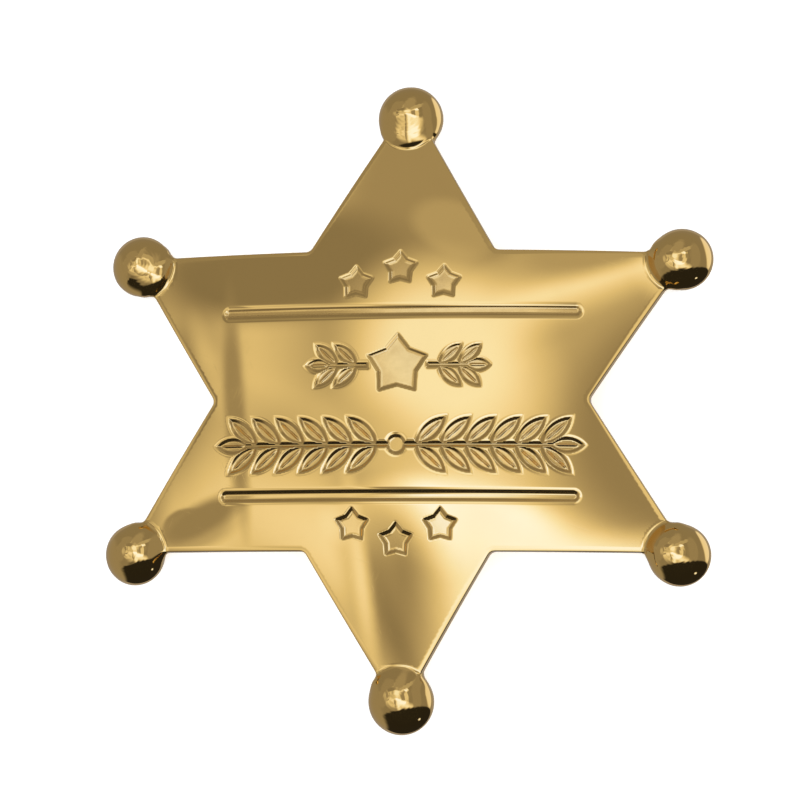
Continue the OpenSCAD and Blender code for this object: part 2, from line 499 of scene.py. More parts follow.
@dataclass
class PressedPattern:
    """Grooves, small stars and laurel ornaments pressed into the face.

    Most of a recess goes down between the wall's two distances from its edge, and the dish's share of it
    between the dish's, which is narrower round the stars. Towards +Y a recess is shallower, down to the upper
    share of its depth, and the leaves' midribs stand up in it.
    """

    depth: float = 0.28
    wall: tuple[float, float] = (0.22, -0.2)
    dish: tuple[float, float] = (0.5, -0.2)
    dish_share: float = 0.32
    star_dish: float = 0.2
    upper_share: float = 0.74
    fade_y: float = 8.0
    groove_l: float = 35.5
    groove_w: float = 0.78
    groove_y: float = 9.3
    star_r: float = 1.66
    star_pitch: float = 4.49
    star_y: float = 12.24
    star_rise: float = 1.5
    star_waist: float = 0.65
    big_star_r: float = 3.1
    boss_r: float = 0.85
    vein_w: float = 0.16
    vein_h: float = 0.5
    star_margin: float = 1.0
    upper: Sprig = field(default_factory=lambda: Sprig(
        row_y=3.8, start=4.3, pitch=1.95, leaf_l=2.8, leaf_w=1.1, pairs=2))
    lower: Sprig = field(default_factory=lambda: Sprig(
        row_y=-4.2, start=2.1, pitch=2.5, leaf_l=3.7, leaf_w=1.3, pairs=6))

    def star(self, radius: float) -> Array:
        """Corners of a five-pointed star with a point towards +Y.

        Args:
            radius: Distance of its points from the middle.

        Returns:
            Ten corners, clockwise.
        """
        i = np.arange(10)
        r = np.where(i % 2 == 0, radius, self.star_waist * radius)
        return np.c_[r * np.sin(i * math.pi / 5), r * np.cos(i * math.pi / 5)]

    def stars(self) -> list[tuple[float, float, float]]:
        """Centre and radius of the stars in the right half and on the middle line.

        Returns:
            One row a star.
        """
        small = [(i * self.star_pitch, s * (self.star_y + self.star_rise * (1 - i)), self.star_r)
                 for s in (-1, 1) for i in (0, 1)]
        return small + [(0.0, self.upper.row_y, self.big_star_r)]

    def distance(self, p: Array, outside_stars: float = 0.0) -> Array:
        """Distance to the edge of the pattern, negative inside a recess.

        Args:
            p: Points, of which x and y are read.
            outside_stars: Added to the distance to a star.

        Returns:
            One signed distance a point.
        """
        x, y = np.abs(p[:, 0]), p[:, 1]
        out = np.hypot(np.maximum(x - self.groove_l / 2, 0.0), np.abs(y) - self.groove_y) - self.groove_w / 2
        out = np.minimum(out, np.hypot(x, y - self.lower.row_y) - self.boss_r)
        out = np.minimum(out, np.minimum(self.upper.distance(x, y), self.lower.distance(x, y)))
        for cx, cy, r in self.stars():
            near = np.maximum(np.abs(x - cx), np.abs(y - cy)) < r + self.star_margin
            star = polygon_distance(np.c_[x[near] - cx, y[near] - cy], self.star(r))
            out[near] = np.minimum(out[near], star + outside_stars)
        return out

    def relief(self, p: Array) -> Array:
        """How far the face is pressed in.

        Args:
            p: Points, of which x and y are read.

        Returns:
            One share of the full depth a point.
        """
        wall, dish = (smooth_step((start - self.distance(p, extra)) / (start - end))
                      for (start, end), extra in ((self.wall, 0.0), (self.dish, self.star_dish)))
        x, y = np.abs(p[:, 0]), p[:, 1]
        vein = np.maximum(self.upper.vein(x, y, self.vein_w), self.lower.vein(x, y, self.vein_w))
        down = (dish * self.dish_share + wall * (1.0 - self.dish_share)) * (1.0 - self.vein_h * vein)
        return down * (1.0 + (self.upper_share - 1.0) * smooth_step(0.5 + y / (2 * self.fade_y)))

    def back_relief(self, p: Array, wall: float) -> Array:
        """How far the back stands out behind the pattern, as a share of the full depth."""
        start, end = self.wall
        return smooth_step((wall + start - self.distance(p)) / (wall + start - end))


@dataclass(frozen=True)
class Grain:
    """Spacing of a mesh's points: close near a line, then growing with the distance over a stretch."""

    close: float
    growth: float
    near: float
    stretch: float = 2.0

    def at(self, away: Array) -> Array:
        """Spacing at each distance from the line."""
        return self.close + self.growth * (away - self.near).clip(0.0, self.stretch)


@dataclass(frozen=True)
class FaceMesh:
    """How one face of the sheet is meshed.

    Its open part ends at a depth inside the outline. From there the wall has a row for each turn, in degrees
    above the level, round the shoulder, and one for each share of the way down to the rim. The spacing
    follows the pattern's walls, the balls' creases and the edge.
    """

    depth: float
    turns: tuple[int, ...]
    shares: tuple[float, ...]
    finest: float
    pattern: Grain
    pattern_middle: float
    balls: Grain
    edge: Grain


FACE_MESHES = {
    Side.FRONT: FaceMesh(
        depth=0.3, turns=(75, 61, 54, 49, 45, 41, 36, 24), shares=(0.1, 0.5, 1.0), finest=0.11,
        pattern=Grain(0.1, 0.4, 0.36), pattern_middle=-0.03, balls=Grain(0.1, 0.4, 0.45),
        edge=Grain(0.25, 0.35, 0.9)),
    Side.BACK: FaceMesh(
        depth=0.45, turns=(65, 40, 15), shares=(0.3, 1.0), finest=0.44,
        pattern=Grain(0.4, 0.4, 0.3), pattern_middle=0.0, balls=Grain(0.4, 0.4, 0.3),
        edge=Grain(0.4, 0.4, 1.3)),
}


@dataclass
class StarPlate:
    """The pressing: domed face, turned edge, six hollow balls and the pressed pattern.

    Near its edge the face rolls down a little. The fillet at a ball grows from the rim's crease at the bottom
    to the ball's own at crease_z. The burr is the small radius on both edges of the rim, and its rows are
    shares of it out and down, with how far their normals lean. From edge_band on, the values say how closely
    the shape is measured and meshed.
    """

    outline: Outline = field(default_factory=Outline)
    pattern: PressedPattern = field(default_factory=PressedPattern)
    dome_r: float = 109.0
    crown_z: float = 5.6
    ball_z: float = 0.35
    edge_h: float = 1.2
    sheet_t: float = 0.6
    shoulder_r: float = 0.08
    roll: float = 0.044
    roll_w: float = 0.5
    inside_r: float = 0.25
    rim_crease: float = 0.4
    crease_z: float = 1.4
    burr_r: float = 0.1
    burr_rows: tuple[tuple[float, float, float], ...] = ((0.3, 0.7, 1), (1, 1, 0))
    back_wall: float = 0.2
    flat_from: float = 0.3
    flat_over: float = 0.8
    rim_blend: float = 1.2
    edge_band: float = 1.6
    above_crown: float = 0.5
    past_wall: float = 0.5
    crease_share: float = 0.89
    spacing: float = 0.25
    off_loop: float = 0.6
    widest_cell: float = 1.76
    plan_half: tuple[float, float] = (33.6, 35.2)
    probe: float = 0.008
    plan_probe: float = 0.01
    contour_rounds: int = 5
    height_rounds: int = 24
    wall_rounds: int = 15
    point_merge: float = 1e-7

    def __post_init__(self) -> None:
        """Works out the outlines that the distances are measured to."""
        self.star_edge = self.outline.loop(False)
        self.star_corners = np.stack([self.outline.corners(), self.outline.tips()], 1).reshape(-1, 2)
        self.balls = self.outline.balls()

    def to_edge(self, p: Array) -> Array:
        """Distance to the star's edge, exact where it is less than about a millimetre inside.

        Args:
            p: Points, of which x and y are read.

        Returns:
            One signed distance a point.
        """
        out = polygon_distance(p[:, :2], self.star_corners)
        near = out > -self.edge_band
        out[near] = polygon_distance(p[near, :2], self.star_edge)
        return out

    def to_balls(self, p: Array) -> Array:
        """Distance to the nearest ball's outline in the plan."""
        return np.min([np.hypot(p[:, 0] - x, p[:, 1] - y) - r for x, y, r in self.balls], axis=0)

    def plan(self, p: Array, side: Side, pressed: bool) -> tuple[Array, Array]:
        """What depends on x and y alone.

        Args:
            p: Points, of which x and y are read.
            side: Face of the sheet.
            pressed: Whether the pressed pattern is wanted too.

        Returns:
            Distance to the star's edge, and how far the face stands out from the dome.
        """
        edge = self.to_edge(p)
        raised = -self.roll * np.maximum(1.0 + edge / self.roll_w, 0.0) ** 2
        if pressed and side is Side.FRONT:
            raised = raised - self.pattern.depth * self.pattern.relief(p)
        elif pressed:
            raised = raised - self.pattern.depth * self.pattern.back_relief(p, self.back_wall)
        return edge, raised

    def body(self, p: Array, side: Side, plan: tuple[Array, Array] | None = None,
             pressed: bool = False) -> Array:
        """Distance of points to one face of the sheet, negative under it.

        Args:
            p: Points in millimetres.
            side: Front for the outside of the sheet, back for its hollow.
            plan: What plan() gave for these points, if it is known.
            pressed: Whether the pressed pattern counts where plan isn't given.

        Returns:
            One value a point, close to the distance near the surface.
        """
        edge, raised = plan if plan is not None else self.plan(p, side, pressed)
        inset = self.inset(side)
        above = np.sqrt(p[:, 0] ** 2 + p[:, 1] ** 2 + (p[:, 2] - self.crown_z + self.dome_r) ** 2)
        slab = round_max(edge + inset, above - self.dome_r - raised + inset,
                         self.shoulder_r if side is Side.FRONT else self.inside_r)
        share = smooth_step(p[:, 2] / self.crease_z)
        for (x, y, r), form in zip(self.balls, self.outline.forms()):
            q, out = p - (x, y, self.ball_z), unit(np.array((x, y)))
            inner = np.clip(-q[:, :2] @ out / r, 0.0, 1.0)
            q[:, :2] += form.lean * p[:, 2:] * out
            q[:, 2] -= form.fill * inner * inner
            q[:, 2] /= 1.0 + (form.flat - 1.0) * smooth_step(self.flat_from + inner / self.flat_over)
            over_face, over_ball = (self.rim_crease + (over - self.rim_crease) * share
                                    for over in (form.over_face, form.over_ball))
            slab = fillet(slab, np.linalg.norm(q, axis=1) - r + inset, over_face, over_ball)
        return slab

    def height(self, p: Array, side: Side, plan: tuple[Array, Array]) -> Array:
        """Height of one face of the sheet over each point of the plan.

        Args:
            p: Points of the plan.
            side: Face of the sheet.
            plan: What plan() gave for them.

        Returns:
            One height a point.
        """
        low, high = np.full(len(p), self.ball_z), np.full(len(p), self.crown_z + self.above_crown)
        return last_inside(low, high, self.height_rounds,
                           lambda z: self.body(np.c_[p, z], side, plan) < 0.0)

    def reach(self, start: Array, way: Array, side: Side) -> Array:
        """Where rays that start inside the wall meet the surface of one face.

        Args:
            start: First points of the rays.
            way: Their directions, of length one.
            side: Face of the sheet.

        Returns:
            The points on the surface.
        """
        low, high = np.zeros(len(start)), np.full(len(start), FACE_MESHES[side].depth + self.past_wall)
        far = last_inside(low, high, self.wall_rounds,
                          lambda run: self.body(start + way * run[:, None], side) < 0.0)
        return start + way * far[:, None]

    def normals(self, p: Array, side: Side, pressed: bool) -> Array:
        """Normals of one face, pointing out of the metal.

        Args:
            p: Points on the face.
            side: Face of the sheet.
            pressed: Whether the pressed pattern counts.

        Returns:
            One normal a point.
        """
        here, out = self.plan(p, side, pressed), np.zeros((len(p), 3))
        for axis in range(3):
            move, known = np.eye(3)[axis] * self.probe, here if axis == 2 else None
            ahead, behind = (self.body(p + way * move, side, known, pressed) for way in (1, -1))
            out[:, axis] = ahead - behind
        return side.value * unit(out)

    def inset(self, side: Side) -> float:
        """Depth of one face below the outside of the sheet."""
        return 0.0 if side is Side.FRONT else self.sheet_t

    def level(self, p: Array, side: Side) -> Array:
        """Distance in the plan to the outline of one face, negative inside."""
        inset = self.inset(side)
        return fillet(self.to_edge(p) + inset, self.to_balls(p) + inset, self.rim_crease, self.rim_crease)

    def turned(self, p: Array) -> Array:
        """How deep into a ball each point of the plan is: 1 on its axis, 0 at its outline and beyond."""
        shares = [1.0 - np.hypot(p[:, 0] - x, p[:, 1] - y) / r for x, y, r in self.balls]
        return np.max(shares, axis=0).clip(0.0)

    def contour(self, p: Array, side: Side, depth: float) -> tuple[Array, Array]:
        """Moves points of the plan to a depth inside the outline of one face.

        Args:
            p: Points close to that line.
            side: Face of the sheet.
            depth: Distance from its outline.

        Returns:
            The moved points and their outward directions.
        """
        out = np.zeros_like(p)
        for _ in range(self.contour_rounds):
            for axis, move in enumerate(np.eye(2) * self.plan_probe):
                out[:, axis] = self.level(p + move, side) - self.level(p - move, side)
            out = unit(out)
            p = p - out * (self.level(p, side) + depth)[:, None]
        return p, out

    def rim_height(self, p: Array) -> Array:
        """Height of the rim under points of the outline: the edge's, or none where it is a ball's.

        Args:
            p: Points of the outline in the plan.

        Returns:
            One height a point.
        """
        on_ball = smooth_step(0.5 + (self.to_edge(p) - self.to_balls(p)) / self.rim_blend)
        under = self.crown_z - self.dome_r + np.sqrt((self.dome_r - self.edge_h) ** 2 - (p * p).sum(1))
        return under * (1.0 - on_ball)

    def needed(self, p: Array, side: Side) -> Array:
        """How closely the mesh has to follow the surface.

        Args:
            p: Points of the plan.
            side: Face of the sheet.

        Returns:
            Spacing at each point.
        """
        mesh = FACE_MESHES[side]
        wall = np.abs(self.pattern.distance(p) - mesh.pattern_middle)
        rings = [np.abs(np.hypot(p[:, 0] - x, p[:, 1] - y) - self.crease_share * r) for x, y, r in self.balls]
        edge = -np.minimum(self.to_edge(p), self.to_balls(p))
        lines = (mesh.pattern, wall), (mesh.balls, np.min(rings, axis=0)), (mesh.edge, edge)
        return np.min([grain.at(away) for grain, away in lines], axis=0)

    def cells(self, side: Side) -> Array:
        """Points of the plan, closer together where the surface bends more.

        Args:
            side: Face of the sheet.

        Returns:
            Middles of square cells.
        """
        size, corners = self.widest_cell, np.array([(-1, -1), (1, -1), (1, 1), (-1, 1)])
        x, y = (np.arange(-half, half, size) + size / 2 for half in self.plan_half)
        cells, kept = np.stack(np.meshgrid(x, y), -1).reshape(-1, 2), []
        while len(cells):
            split = (self.needed(cells, side) < size) & (size > FACE_MESHES[side].finest)
            kept.append(cells[~split])
            size /= 2
            cells = (cells[split][:, None, :] + size / 2 * corners).reshape(-1, 2)
        return np.concatenate(kept)

    def face(self, skin: Skin, loop: Array, side: Side) -> Array:
        """Adds the open part of one face.

        Args:
            skin: Mesh that it is added to.
            loop: Its outline in the plan.
            side: Face of the sheet.

        Returns:
            Numbers of the points on the outline.
        """
        inner = self.cells(side)
        room = self.level(inner, side) + FACE_MESHES[side].depth
        inner = inner[room < -self.off_loop * np.minimum(self.needed(inner, side), self.spacing)]
        count = len(loop)
        plan = np.concatenate([loop, inner])
        ring = [(i, (i + 1) % count) for i in range(count)]
        inside_only = 1
        flat, _, triangles, _, _, _ = delaunay_2d_cdt(
            [Vector(q) for q in plan.tolist()], ring, [list(range(count))], inside_only, self.point_merge)
        plan = np.array([tuple(q) for q in flat])
        assert np.allclose(plan[:count], loop, atol=1e-5), "the outline's points lost their order"
        known = self.plan(plan, side, True)
        points = np.c_[plan, self.height(plan, side, known)]
        if side is Side.FRONT:
            marks = np.c_[self.pattern.relief(plan), self.turned(plan), np.zeros(len(plan))]
        else:
            marks = np.tile((0.0, 0.0, 1.0), (len(plan), 1))
        numbers = skin.add(points, self.normals(points, side, True), marks)
        skin.faces.append(numbers[np.array(triangles)])
        return numbers[:count]

    def wall(self, skin: Skin, side: Side, row: Array, out: Array, under: Array) -> Array:
        """Adds the turned wall of one side, from the open part down to the rim.

        Args:
            skin: Mesh that it is added to.
            side: Face of the sheet.
            row: Numbers of the points on the open part's outline.
            out: Their outward directions in the plan.
            under: Height of the rim under each point.

        Returns:
            Numbers of the lowest row.
        """
        mesh, way = FACE_MESHES[side], np.c_[out, np.zeros(len(out))]
        pivot = np.concatenate(skin.points)[row] - (0, 0, mesh.depth)
        rays = [(pivot, way * math.cos(turn) + np.array((0, 0, math.sin(turn))))
                for turn in np.radians(mesh.turns)]
        for share in mesh.shares:
            start = pivot.copy()
            start[:, 2] += (under + self.burr_r - pivot[:, 2]) * share
            rays.append((start, way))
        for start, along in rays:
            at = self.reach(start, along, side)
            row = self.next_row(skin, row, at, self.normals(at, side, False), side)
        return row

    def next_row(self, skin: Skin, row: Array, at: Array, normals: Array, side: Side) -> Array:
        """Adds one more row of points and the band down to it.

        Args:
            skin: Mesh that they are added to.
            row: Numbers of the points above.
            at: The new points, one for each of those.
            normals: Their normals.
            side: Whether they have the front's finish or the back's.

        Returns:
            The numbers of the new points.
        """
        after = skin.add(at, normals, np.tile((0.0, 0.0, float(side is Side.BACK)), (len(at), 1)))
        skin.band(row, after)
        return after

    def build(self) -> bpy.types.Object:
        """Makes the pressing as one closed mesh.

        Returns:
            The new object.
        """
        skin, rows = Skin(), []
        rim, rim_out = self.contour(self.outline.whole(self.spacing), Side.FRONT, 0.0)
        under = self.rim_height(rim)
        for side, mesh in FACE_MESHES.items():
            loop, out = self.contour(rim - (self.inset(side) + mesh.depth) * rim_out, side, mesh.depth)
            rows.append(self.wall(skin, side, self.face(skin, loop, side), out, under))
        points = np.concatenate(skin.points)
        way, down = np.c_[rim_out, np.zeros(len(rim))], np.array((0.0, 0.0, -1.0))
        row = rows[0]
        for edge, sign in ((rows[0], -1), (rows[1], 1)):
            for along, deep, lean in self.burr_rows[::-sign]:
                at = points[edge] + self.burr_r * (sign * along * way + deep * down)
                row = self.next_row(skin, row, at, down - sign * lean * way, Side.BACK)
        skin.band(row, rows[1])
        return skin.build("star_pressing")

    def dress(self, finish: "GoldPlating") -> bpy.types.Object:
        """Builds the pressing and puts it in the place of its CAD node.

        Args:
            finish: Its material.

        Returns:
            The new object.
        """
        made = self.build()
        made.data.materials.append(finish.material())
        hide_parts("star_plate")
        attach(made, "root")
        return made


def rounded_box(half_w: float, half_h: float, radius: float, steps: int = 5) -> Array:
    """Rectangle with rounded corners, as points around the origin.

    Args:
        half_w: Half of its size along the first axis.
        half_h: Half of its size along the second axis.
        radius: Radius of its corners.
        steps: Pieces in each corner.

    Returns:
        Rows of two coordinates.
    """
    turns = np.radians(np.linspace(0.0, 90.0, steps + 1))
    rows = []
    for i, (x, y) in enumerate(((1, 1), (-1, 1), (-1, -1), (1, -1))):
        middle, angle = np.array((x * (half_w - radius), y * (half_h - radius))), turns + i * math.pi / 2
        rows.append(middle + radius * np.c_[np.cos(angle), np.sin(angle)])
    return np.concatenate(rows)


@dataclass
class PinBack:
    """The closed bar pin: strip, knuckle, pin and hook-shaped catch, one plain piece.

    The strip's flat rows are insets from its edge. The web's flare rows are shares of its flare above the
    foot. The rivet's rows are depths from the knuckle's end, with their radii.
    """

    plate: StarPlate
    strip_l: float = 29.0
    strip_w: float = 4.4
    strip_t: float = 0.8
    strip_depth: float = 1.0
    flat_rows: tuple[float, ...] = (2.0, 1.0, 0.3)
    web_base_h: float = 0.2
    flare_h: float = 0.35
    flare_w: float = 0.22
    flare_rows: tuple[float, ...] = (1.0, 0.7, 0.4, 0.15, 0.0)
    lug_x: float = 12.0
    lug_r: float = 1.05
    stem_z: float = 1.45
    stem_r: float = 0.42
    knuckle_w: float = 2.6
    rivet: tuple[tuple[float, float], ...] = ((0.02, 0.16), (0.05, 0.3), (0.1, 0.42), (0.16, 0.47))
    catch_l: float = 2.0
    catch_bore: float = 0.64
    catch_slot: float = 1.04
    catch_edge: float = 0.7
    point_l: float = 2.4
    point_r: float = 0.06
    point_power: float = 1.6
    point_gap: float = 0.3
    past_catch: float = 0.6
    edge_r: float = 0.14
    edge_steps: int = 4
    end_steps: int = 16
    long_steps: int = 40
    round_steps: int = 28
    stem_steps: int = 8

    def under_dome(self, x: Array, y: Array, depth: float) -> Array:
        """Height of the surface that lies a depth below the plate's face."""
        dome_r = self.plate.dome_r
        return self.plate.crown_z - dome_r + np.sqrt((dome_r - depth) ** 2 - x * x - y * y)

    def rolled(self) -> list[tuple[float, float]]:
        """Inset and depth of each row of a rounded edge, from the side of the metal up."""
        turns = np.radians(np.linspace(0.0, 90.0, self.edge_steps + 1))
        return [(self.edge_r * (1 - math.cos(t)), self.edge_r * (1 - math.sin(t))) for t in turns]

    def strip(self, skin: Skin) -> None:
        """Adds the strip, curved as the dome is, with round ends and rolled edges.

        Args:
            skin: Mesh that it is added to.
        """
        half, end = self.strip_w / 2, (self.strip_l - self.strip_w) / 2
        upper = [(inset, 0.0) for inset in self.flat_rows] + self.rolled()[::-1]
        rows = upper + [(inset, self.strip_t - down) for inset, down in upper[::-1]]
        angle = np.linspace(-math.pi / 2, math.pi / 2, self.end_steps + 1)
        along = np.linspace(-1.0, 1.0, self.long_steps + 1)[1:-1]
        rings = []
        for inset, down in rows:
            r = half - inset
            right = np.c_[end + r * np.cos(angle), r * np.sin(angle)]
            top = np.c_[-end * along, np.full(len(along), r)]
            plan = np.concatenate([right, top, -right, -top])
            z = self.under_dome(plan[:, 0], plan[:, 1], self.strip_depth + down)
            rings.append(np.c_[plan, z])
        skin.loft(np.array(rings))

    def turned_bar(self, skin: Skin, profile: list[tuple[float, float]], start: tuple[float, float, float],
                   axis: int) -> None:
        """Adds a round body.

        Args:
            skin: Mesh that it is added to.
            profile: Distance along its axis and radius of each ring.
            start: Where that distance begins.
            axis: 0 for a body along X, 1 for one along Y.
        """
        turns = np.linspace(0.0, 2 * math.pi, self.round_steps, endpoint=False)
        rings = np.zeros((len(profile), len(turns), 3))
        for row, (along, radius) in enumerate(profile):
            rings[row, :, axis] = along
            rings[row, :, 1 - axis] = radius * np.cos(turns)
            rings[row, :, 2] = radius * np.sin(turns)
        skin.loft(rings + np.array(start))

    def web(self, skin: Skin, x: float, half_l: float, half_w: float) -> None:
        """Adds the web that carries a lug, from the pin's height up into the strip.

        Args:
            skin: Mesh that it is added to.
            x: Place of the lug along the strip.
            half_l: Half of its size along the strip.
            half_w: Half of its size across it.
        """
        plan = rounded_box(half_l, half_w, self.edge_r)
        top = float(self.under_dome(np.array(x), np.array(0.0), self.strip_depth + self.strip_t / 2))
        foot, flare = top - self.strip_t / 2, self.flare_h
        levels = [self.stem_z, self.stem_z + self.web_base_h]
        levels += [foot - flare * share for share in self.flare_rows] + [top]
        rings = []
        for z in levels:
            lift = min(max(z - foot + flare, 0.0) / flare, 1.0)
            spread = 1.0 + (1.0 - math.sqrt(1.0 - lift * lift)) * self.flare_w
            rings.append(np.c_[plan * spread + (x, 0.0), np.full(len(plan), z)])
        skin.loft(np.array(rings))

    def catch(self, skin: Skin) -> None:
        """Adds the hook that the pin's end lies in, open towards -Y.

        Args:
            skin: Mesh that it is added to.
        """
        middle, half_t = (self.lug_r + self.catch_bore) / 2, (self.lug_r - self.catch_bore) / 2
        section = rounded_box(half_t, self.catch_l / 2, self.catch_edge * self.edge_r)
        opening = math.asin(self.catch_slot / 2 / middle)
        rings = []
        for turn in np.linspace(opening, 2 * math.pi - opening, self.long_steps + 1):
            out = np.array((-math.cos(turn), math.sin(turn)))
            at = (middle + section[:, :1]) * out
            rings.append(np.c_[self.lug_x + section[:, 1], at[:, 0], self.stem_z + at[:, 1]])
        skin.loft(np.array(rings))

    def build(self) -> bpy.types.Object:
        """Makes the bar pin.

        Returns:
            The new object.
        """
        skin = Skin()
        self.strip(skin)
        self.web(skin, -self.lug_x, self.lug_r, self.knuckle_w / 2)
        self.web(skin, self.lug_x, self.catch_l / 2, self.lug_r)
        self.catch(skin)
        half, sunk = self.knuckle_w / 2, self.rivet[-1][0]
        side = list(self.rivet) + [(sunk + down, self.lug_r - inset) for inset, down in self.rolled()[::-1]]
        profile = [(-half + a, b) for a, b in side] + [(half - a, b) for a, b in side[::-1]]
        self.turned_bar(skin, profile, (-self.lug_x, 0.0, self.stem_z), 1)
        tip = self.lug_x + self.catch_l / 2 + self.past_catch
        plain_end, thinner = tip - self.point_l - self.point_gap, self.stem_r - self.point_r
        taper = [(tip - self.point_l * (1 - t), self.point_r + thinner * (1 - t ** self.point_power))
                 for t in np.linspace(0.0, 1.0, self.stem_steps + 1)]
        run = [(x, self.stem_r) for x in np.linspace(-self.lug_x, plain_end, self.stem_steps + 1)]
        self.turned_bar(skin, run + taper, (0.0, 0.0, self.stem_z), 0)
        return skin.build("bar_pin")

    def dress(self, finish: "GoldPlating") -> bpy.types.Object:
        """Builds the bar pin and puts it in the place of its CAD node.

        Args:
            finish: Its material.

        Returns:
            The new object.
        """
        made = self.build()
        made.data.materials.append(finish.material())
        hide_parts("pin_back")
        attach(made, "root")
        return made


class Nodes:
    """Small helper that adds nodes to one tree and joins them."""

    def __init__(self, tree: bpy.types.NodeTree) -> None:
        """Keeps the tree that the nodes go into."""
        self.tree = tree

    def add(self, kind: str, inputs: dict[str | int, object] | None = None,
            **settings: object) -> bpy.types.Node:
        """Adds a node.

        Args:
            kind: Its type, such as ShaderNodeMath.
            inputs: Sockets to join, or values to set, by name or number.
            **settings: Properties of the node.

        Returns:
            The new node.
        """
        node = self.tree.nodes.new(kind)
        for name, value in settings.items():
            setattr(node, name, value)
        self.fill(node, inputs or {})
        return node

    def fill(self, node: bpy.types.Node, inputs: dict[str | int, object]) -> None:
        """Joins or sets sockets of a node.

        Args:
            node: Node with the sockets.
            inputs: Sockets to join, or values to set, by name or number.
        """
        for name, value in inputs.items():
            if isinstance(value, bpy.types.NodeSocket):
                self.tree.links.new(value, node.inputs[name])
            else:
                node.inputs[name].default_value = value

    def math(self, operation: str, *values: object) -> bpy.types.NodeSocket:
        """Result of a Math node."""
        return self.add("ShaderNodeMath", dict(enumerate(values)), operation=operation).outputs[0]

    def vector(self, operation: str, *values: object, result: str | int = 0) -> bpy.types.NodeSocket:
        """Result of a Vector Math node."""
        return self.add("ShaderNodeVectorMath", dict(enumerate(values)), operation=operation).outputs[result]

    def turned(self, at: bpy.types.NodeSocket, angle: object) -> bpy.types.NodeSocket:
        """Result of a Vector Rotate node about Z."""
        inputs = {"Vector": at, "Angle": angle}
        return self.add("ShaderNodeVectorRotate", inputs, rotation_type="Z_AXIS").outputs[0]

    def ramp(self, value: bpy.types.NodeSocket, low: float, high: float, first: float = 0.0,
             last: float = 1.0, smooth: bool = False) -> bpy.types.NodeSocket:
        """Result of a Map Range node."""
        return self.add("ShaderNodeMapRange", {0: value, 1: low, 2: high, 3: first, 4: last},
                        interpolation_type="SMOOTHSTEP" if smooth else "LINEAR").outputs[0]

    def noise(self, at: bpy.types.NodeSocket, scale: float, detail: float,
              rough: float = 0.5) -> bpy.types.NodeSocket:
        """Result of a Noise Texture node."""
        return self.add("ShaderNodeTexNoise", {"Vector": at, "Scale": scale, "Detail": detail,
                                               "Roughness": rough}).outputs[0]


def new_group(name: str, inputs: dict[str, tuple[str, object]],
              outputs: dict[str, str]) -> bpy.types.NodeTree:
    """Makes an empty shader group.

    Args:
        name: Name of the group.
        inputs: Socket type and default value of each input.
        outputs: Socket type of each output.

    Returns:
        The group, with its two end nodes.
    """
    group = bpy.data.node_groups.new(name, "ShaderNodeTree")
    for label, (kind, value) in inputs.items():
        group.interface.new_socket(label, in_out="INPUT", socket_type=kind).default_value = value
    for label, kind in outputs.items():
        group.interface.new_socket(label, in_out="OUTPUT", socket_type=kind)
    group.nodes.new("NodeGroupInput")
    group.nodes.new("NodeGroupOutput")
    return group


